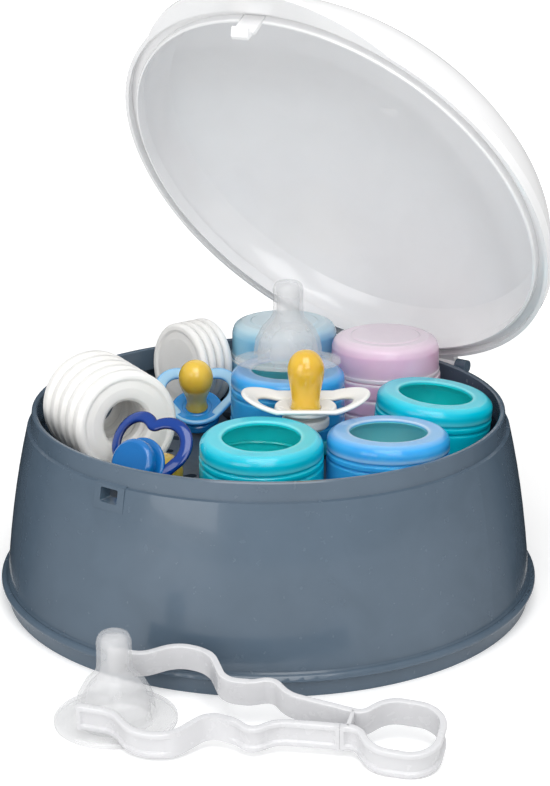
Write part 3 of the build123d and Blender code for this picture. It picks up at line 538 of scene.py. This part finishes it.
def shield_strip(line, width, thickness, steps=20):
    """A rounded strip along a closed flat line: its section is the superellipse
    (w |cos b| ^ 0.7, t |sin b| ^ 0.7), with signs kept, laid square to the line on the ball."""
    ahead = np.roll(line, -1, 0) - np.roll(line, 1, 0)
    ahead = ahead / np.maximum(np.hypot(*ahead.T), 1e-9)[:, None]
    out = np.stack([ahead[:, 1], -ahead[:, 0]], 1)
    b = np.linspace(0, 2 * np.pi, steps, endpoint=False)
    across = width / 2 * np.sign(np.cos(b)) * np.abs(np.cos(b)) ** 0.7
    deep = thickness / 2 * (1 + np.sign(np.sin(b)) * np.abs(np.sin(b)) ** 0.7)
    flat = line[:, None] + out[:, None] * across[None, :, None]
    return on_ball(flat, np.broadcast_to(deep, flat.shape[:2]))


def shield_plate(radius, thickness, sides=96):
    """A round plate on the ball with a rounded edge and a shallow ring round the bulb."""
    profile = bent_line(
        [(0, 0), (6.4, 0), (7.0, 0.5), (7.6, 0), (radius, 0), (radius, thickness), (0, thickness)],
        [0, 0.5, 0.5, 0.5, 0.9, 0.9, 0],
        closed=True,
    )
    grid = turned(profile, sides)
    return on_ball(grid[..., :2], grid[..., 2])


heart_line = arcs([
    (0, 0, 10.4, -90, -36.6), (7.8, 10.5, 10.4, -36.6, 126.87), (0, 20.9, 2.6, -53.13, -90),
    (0, 20.9, 2.6, -90, -126.87), (-7.8, 10.5, 10.4, 53.13, 216.6), (0, 0, 10.4, 216.6, 270),
])
oval_line = arcs([(13.0, 0, 12.3, -90, 90), (-13.0, 0, 12.3, 90, 270)], 40)
# for the strips the third colour is their painted highlight
navy = clear_plastic(
    "navy_polypropylene", (0.003, 0.010, 0.09), (0.002, 0.008, 0.07), (0.0, 0.04, 0.26), 0.06, 1.0, 0.0
)
cobalt = moulded_plastic("cobalt_polypropylene", (0.006, 0.16, 0.48), (0.005, 0.14, 0.43), 0.14, coat=0.4)
plate_blue = moulded_plastic(
    "plate_polypropylene", (0.0, 0.25, 0.66), (0.0, 0.21, 0.58), 0.12, haze=0.2, coat=0.4
)
shield_sky = clear_plastic(
    "sky_shield_polypropylene", (0.10, 0.42, 0.86), (0.08, 0.37, 0.80), (0.44, 0.70, 0.96), 0.08, 0.9, 0.7
)
shield_white = moulded_plastic(
    "white_shield_polypropylene", (0.86, 0.85, 0.82), (0.82, 0.81, 0.78), 0.2, haze=0.1
)
amber = moulded_plastic(
    "amber_rubber", (0.78, 0.52, 0.06), (0.66, 0.40, 0.03), 0.14, haze=0.6, coat=0.5
)
# the strip's material, the one of plate and knob, the strip's line and width, the plate's
# radius, the bulb's neck radius, and the place
pacifiers = {
    "sky": (shield_sky, plate_blue, heart_line, 5.2, 12.2, 4.9,
            facing((-46.5, 3.2, 79.2), (0.225, -0.309, 0.924), (-0.545, 0.746, 0.381))),
    "navy": (navy, cobalt, heart_line, 5.2, 12.2, 4.9,
             facing((-7.6, -85.6, 82.6), (-0.042, 0.906, -0.427), (0.0, 0.36, 0.9))),
    "white": (shield_white, shield_white, oval_line, 7.4, 14.0, 6.6,
              facing((31.0, -13.2, 97.8), (0, 0, 1), (-0.590, 0.807, 0))),
}
shield_thickness = 2.4


def bulb_profile(neck, head, length, widest, root=4.0, steps=26):
    """A bulb's half section: the radius swells from neck to head along a smooth step
    3 t t - 2 t t t between its root and its widest height, then closes nearly as a quarter
    ellipse, r = head cos(a) ^ 0.9."""
    h = np.linspace(root, widest, steps)
    t = (h - root) / (widest - root)
    side = np.stack([neck + (head - neck) * t * t * (3 - 2 * t), h], 1)
    a = np.linspace(0, np.pi / 2, steps)[1:]
    end = np.stack([head * np.cos(a) ** 0.9, widest + (length - widest) * np.sin(a)], 1)
    end[-1, 0] = 0
    return np.vstack([[(0, 0.6), (neck + 0.6, 0.6), (neck + 0.1, 1.6)], side, end])


knob_profile = bent_line(
    [
        (0, -2.7), (5.0, -2.7), (5.0, -3.9), (10.2, -3.9), (11.0, -4.7), (11.0, -7.6), (9.4, -9.2),
        (6.6, -8.9), (0, -8.7),
    ],
    [0, 0.2, 0.5, 0.6, 0.6, 1.6, 1.4, 2, 0],
    closed=True,
)
for colour, (strip_mat, plate_mat, line, width, plate_r, neck_r, place) in pacifiers.items():
    strip = shield_strip(line, width, shield_thickness)
    around = np.linspace(0, 2 * np.pi, strip.shape[1], endpoint=False)
    # painted light: the strip's faces are drawn towards the painted highlight colour and its edges are
    # left darker
    painted_face_light = np.broadcast_to(1 - np.abs(np.cos(around)) ** 3, strip.shape[:2])
    shield = put_piece(f"shield_strip_{colour}", [(strip, True, True)], place, strip_mat, painted_light=[painted_face_light])
    disc = shield_plate(plate_r, shield_thickness)
    plate = put_piece(f"shield_plate_{colour}", [(disc, True, True)], place, plate_mat)
    # the bulb is blown from thin rubber: a neck that swells to a round head
    blown = turned(bulb_profile(neck_r, 8.5, 28.0, 18.6), 72)
    bulb = put_piece(f"rubber_bulb_{colour}", [(blown, True, True)], place, amber)
    knob = put_piece(
        f"shield_knob_{colour}", [(turned(knob_profile, 96), True, True)], place, plate_mat
    )
    for piece, node in ((shield, "shield"), (plate, "shield"), (bulb, "bulb"), (knob, "knob")):
        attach(piece, "rack")
        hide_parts(f"pacifier_{colour}_{node}")

# ---- Tongs ---------------------------------------------------------------------------------
# The tongs are one springy white strip on edge, bent round a finger loop, with rims along
# its outer face.  The front arm bends about the loop's waist; the jaws hold the loose teat.

tongs_white = moulded_plastic(
    "tongs_polypropylene", (0.66, 0.66, 0.675), (0.63, 0.63, 0.645), 0.22, haze=0.08
)
waist = 5.4
loop_r = 15.6
strip_height = 12.0
half_strip = 1.4
sink = 1.1
# an arm's line, as (distance along the tongs, distance from their middle), and its bends
arm = [
    (24.0, waist), (49.0, waist + 3.2), (57.5, waist + 11.4), (66.0, waist + 6.6),
    (77.0, waist + 5.6), (88.0, waist + 22.4), (103.0, waist + 23.6), (115.0, 19.0), (130.0, 19.0),
]
arm_bends = [15.0, 6.0, 16.0, 11.0, 14.0, 16.0, 12.0]
# the tongs point to (-0.934, -0.358), lie tilted on one long edge and climb to their jaws
tilt, climb = np.radians(12.0), np.radians(2.2)
run_x, run_y = 0.934, 0.358
along = np.array([-run_x * np.cos(climb), -run_y * np.cos(climb), np.sin(climb)])
forward = np.array([run_y * np.cos(tilt), -run_x * np.cos(tilt), -np.sin(tilt)])
upward = np.cross(along, forward)
upward = upward / np.linalg.norm(upward)
lowest = (loop_r + half_strip) * np.sin(tilt)
tongs_place = (
    np.array([149.07, -113.08, lowest + seat_gap]),
    np.stack([along, np.cross(upward, along), upward]),
)


def even_line(line, gap):
    """The same line with its points spaced evenly along its length."""
    run = np.concatenate([[0], np.cumsum(np.hypot(*np.diff(line, axis=0).T))])
    s = np.linspace(0, run[-1], int(run[-1] / gap) + 1)
    return np.stack([np.interp(s, run, line[:, 0]), np.interp(s, run, line[:, 1])], 1), s


def rimmed_strip(line, s, outer, plain):
    """A strip on edge along a line.  Its outer face is sunk between two rims; the sinking
    fades out at both ends and over one plain stretch (middle, half length), so its depth is
    the full one times a smooth step of the product of those fades."""
    ahead = np.gradient(line, axis=0)
    ahead = ahead / np.hypot(*ahead.T)[:, None]
    out = np.stack([-ahead[:, 1], ahead[:, 0]], 1) * outer
    fade = np.clip((s - 1.8) / 0.9, 0, 1) * np.clip((s[-1] - s - 1.8) / 0.9, 0, 1)
    fade = fade * np.clip((np.abs(s - plain[0]) - plain[1]) / 5.0, 0, 1)
    fade = fade * fade * (3 - 2 * fade)
    floor_v = half_strip - sink
    section = bent_line(
        [
            (-half_strip, 0), (half_strip, 0), (half_strip, 2.3), (floor_v, 2.9),
            (floor_v, strip_height - 2.9), (half_strip, strip_height - 2.3),
            (half_strip, strip_height), (-half_strip, strip_height),
        ],
        [0.5, 0.6, 0.4, 0.3, 0.3, 0.4, 0.6, 0.5],
        closed=True,
        steps=4,
    )
    sunk = np.clip((half_strip - section[:, 0]) / sink, 0, 1) * (section[:, 0] > floor_v - 0.01)
    v = section[None, :, 0] + sink * sunk[None] * (1 - fade[:, None])
    xy = line[:, None] + out[:, None] * v[..., None]
    return np.concatenate([xy, np.broadcast_to(section[None, :, 1:], v.shape + (1,))], -1)


def end_caps(strip):
    """Close a strip's two ends: each is its last section and that section's middle."""
    caps = []
    for end in (strip[:1], strip[-1:]):
        centre = np.broadcast_to(end.mean(1, keepdims=True), end.shape)
        caps.append((np.concatenate([end, centre]), False, True))
    return caps


loop = [
    (24.0, waist), (17.0, waist - 0.9), (9.0, loop_r), (-loop_r, loop_r), (-loop_r, -loop_r),
    (9.0, -loop_r), (17.0, 0.9 - waist),
]
loop_bends = [0, 6, 13, 15.5, 15.5, 13, 6, 12]
rear_points = loop + [(u, -v) for u, v in arm]
front_points = [(24.1, waist)] + arm[1:]
rear_line, rear_s = even_line(bent_line(rear_points, loop_bends + arm_bends + [0], False, 24), 0.8)
front_line, front_s = even_line(bent_line(front_points, [0] + arm_bends + [0], False, 24), 0.8)
# a thin rib closes the finger loop at the waist
rib_section = bent_line([(20.1, 0), (21.9, 0), (21.9, strip_height), (20.1, strip_height)], 0.5, True)
rib_side = np.linspace(-(waist - 0.45), waist - 0.45, 6)[:, None]
rib = np.stack(np.broadcast_arrays(rib_section[None, :, 0], rib_side, rib_section[None, :, 1]), -1)
plain_at, plain_half = 60.0, 13.0
before_arm = rear_s[-1] - front_s[-1]
for name, node, body, line, s, outer, plain_middle, more in (
    ("tongs_loop_and_rear_arm", "tongs_rear_half", "tongs", rear_line, rear_s, -1.0,
     before_arm + plain_at, [(rib, False, True)]),
    ("tongs_front_strip", "tongs_front_arm", "tongs_arm", front_line, front_s, 1.0, plain_at, []),
):
    strip = rimmed_strip(line, s, outer, (plain_middle, plain_half))
    piece = put_piece(name, [(strip, False, True)] + end_caps(strip) + more, tongs_place, tongs_white, 35)
    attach(piece, body)
    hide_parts(node)

# ---- Studio --------------------------------------------------------------------------------
# A plain white floor that runs back out of sight, three soft lamps and an even white room.
# Floor and room look brighter to the camera than they light the object, which keeps the
# background white at a plain level of light.  Near the tub the floor keeps its shadow.

half_floor = 6.0
corners = [(half_floor * x, half_floor * y) for x, y in ((-1, -1), (1, -1), (1, 1), (-1, 1))]
floor_mesh = bpy.data.meshes.new("studio_floor")
floor_mesh.from_pydata([(x, y, 0) for x, y in corners], [], [(0, 1, 2, 3)])
floor = bpy.data.objects.new("studio_floor", floor_mesh)
bpy.context.scene.collection.objects.link(floor)
floor_mat = bpy.data.materials.new("studio_floor")
floor_mat.use_nodes = True
floor_nodes, floor_links = floor_mat.node_tree.nodes, floor_mat.node_tree.links
floor_skin = floor_nodes["Principled BSDF"]
floor_skin.inputs["Base Color"].default_value = (0.9, 0.9, 0.9, 1)
floor_skin.inputs["Roughness"].default_value = 0.6
floor_skin.inputs["Specular IOR Level"].default_value = 0.2
floor_skin.inputs["Emission Color"].default_value = (1, 1, 1, 1)


def seen_by_camera(nodes, links):
    """1 for rays that come from the camera, straight or through something clear, and 0 for
    the rays that light things."""
    path = nodes.new("ShaderNodeLightPath")
    either = nodes.new("ShaderNodeMath")
    either.operation = "MAXIMUM"
    links.new(path.outputs["Is Camera Ray"], either.inputs[0])
    links.new(path.outputs["Is Transmission Ray"], either.inputs[1])
    return either.outputs[0]


spot = floor_nodes.new("ShaderNodeTexCoord")
reach = floor_nodes.new("ShaderNodeVectorMath")
reach.operation = "LENGTH"
floor_links.new(spot.outputs["Object"], reach.inputs[0])
rising = floor_nodes.new("ShaderNodeMapRange")
rising.inputs["From Min"].default_value = 0.16
rising.inputs["From Max"].default_value = 1.6
rising.inputs["To Min"].default_value = 0.24
rising.inputs["To Max"].default_value = 1.0
floor_links.new(reach.outputs["Value"], rising.inputs["Value"])
lift = floor_nodes.new("ShaderNodeMath")
lift.operation = "MULTIPLY"
floor_links.new(seen_by_camera(floor_nodes, floor_links), lift.inputs[0])
floor_links.new(rising.outputs["Result"], lift.inputs[1])
floor_links.new(lift.outputs[0], floor_skin.inputs["Emission Strength"])
floor_mesh.materials.append(floor_mat)

room = bpy.data.worlds.new("white_room")
bpy.context.scene.world = room
room.use_nodes = True
room_nodes, room_links = room.node_tree.nodes, room.node_tree.links
light = room_nodes["Background"]
light.inputs["Color"].default_value = (1, 1, 1, 1)
level = room_nodes.new("ShaderNodeMapRange")
level.inputs["To Min"].default_value = 0.56
level.inputs["To Max"].default_value = 1.0
room_links.new(seen_by_camera(room_nodes, room_links), level.inputs["Value"])
room_links.new(level.outputs["Result"], light.inputs["Strength"])


def lamp(name, position, target, size, power):
    """A square softbox at a position, turned to face a target, in watts."""
    data = bpy.data.lights.new(name, "AREA")
    data.shape = "SQUARE"
    data.size = size
    data.energy = power
    z = np.array(position, float) - np.array(target, float)
    z = z / np.linalg.norm(z)
    x = np.cross([0, 0, 1] if abs(z[2]) < 0.99 else [0, 1, 0], z)
    x = x / np.linalg.norm(x)
    o = bpy.data.objects.new(name, data)
    bpy.context.scene.collection.objects.link(o)
    turn = np.eye(4)
    turn[:3, 0], turn[:3, 1], turn[:3, 2], turn[:3, 3] = x, np.cross(z, x), z, position
    o.matrix_world = Matrix(turn.tolist())


lamp("softbox_front", (0.0, -1.4, 0.5), (0, 0, 0.15), 0.8, 5.0)
lamp("softbox_top", (0.45, -0.6, 1.4), (0, 0, 0.1), 1.0, 12)
lamp("softbox_right", (1.0, -0.95, 0.8), (0, 0.05, 0.16), 0.7, 4.5)

# Two dark cards stand round the tub, from behind it to its sides, where only reflections
# meet them.  They give its glossy wall its dark edges, and fade out towards the front.
card_r, card_height, card_stops = 0.142, 0.13, 40
card_mat = bpy.data.materials.new("dark_card")
card_mat.use_nodes = True
card_skin = card_mat.node_tree.nodes["Principled BSDF"]
card_skin.inputs["Base Color"].default_value = (0.004, 0.004, 0.005, 1)
card_skin.inputs["Roughness"].default_value = 0.9
card_end = card_mat.node_tree.nodes.new("ShaderNodeAttribute")
card_end.attribute_name = "solid"
card_mat.node_tree.links.new(card_end.outputs["Fac"], card_skin.inputs["Alpha"])
for name, first, last in (("dark_card_left", 126, 274), ("dark_card_right", 126, -16)):
    a = np.radians(np.linspace(first, last, card_stops))[:, None]
    h = np.array([0.0, card_height])[None]
    x, y = card_r * np.cos(a) + 0 * h, card_r * np.sin(a) + 0 * h
    card_points = np.stack([x, y, h + 0 * a], -1).reshape(-1, 3)
    k = np.arange(card_stops - 1) * 2
    card_mesh = bpy.data.meshes.new(name)
    card_mesh.from_pydata(card_points, [], np.stack([k, k + 2, k + 3, k + 1], 1))
    cover = np.clip(np.linspace(3.6, 0.0, card_stops), 0, 1)
    solid = card_mesh.attributes.new("solid", "FLOAT", "POINT")
    solid.data.foreach_set("value", np.repeat(cover, 2))
    card_mesh.materials.append(card_mat)
    card = bpy.data.objects.new(name, card_mesh)
    bpy.context.scene.collection.objects.link(card)
    card.visible_camera = False
    card.visible_diffuse = False
    card.visible_transmission = False
    card.visible_shadow = False

# the camera's focal length and the picture's height are in pixels, its sensor in millimetres
focal, picture_height, sensor = 1801.5, 786, 36
camera_data = bpy.data.cameras.new("studio_camera")
camera_data.lens = focal * sensor / picture_height
camera = bpy.data.objects.new("studio_camera", camera_data)
bpy.context.scene.collection.objects.link(camera)
right = np.array([0.808, 0.590, 0.001])
look = np.array([-0.562, 0.770, -0.301])
look = look / np.linalg.norm(look)
right = right - look * right.dot(look)
right = right / np.linalg.norm(right)
turn = np.eye(4)
turn[:3, 0], turn[:3, 1], turn[:3, 2] = right, np.cross(right, look), -look
turn[:3, 3] = (0.4865, -0.6613, 0.3553)
camera.matrix_world = Matrix(turn.tolist())
bpy.context.scene.camera = camera
bpy.context.scene.view_settings.view_transform = "Standard"
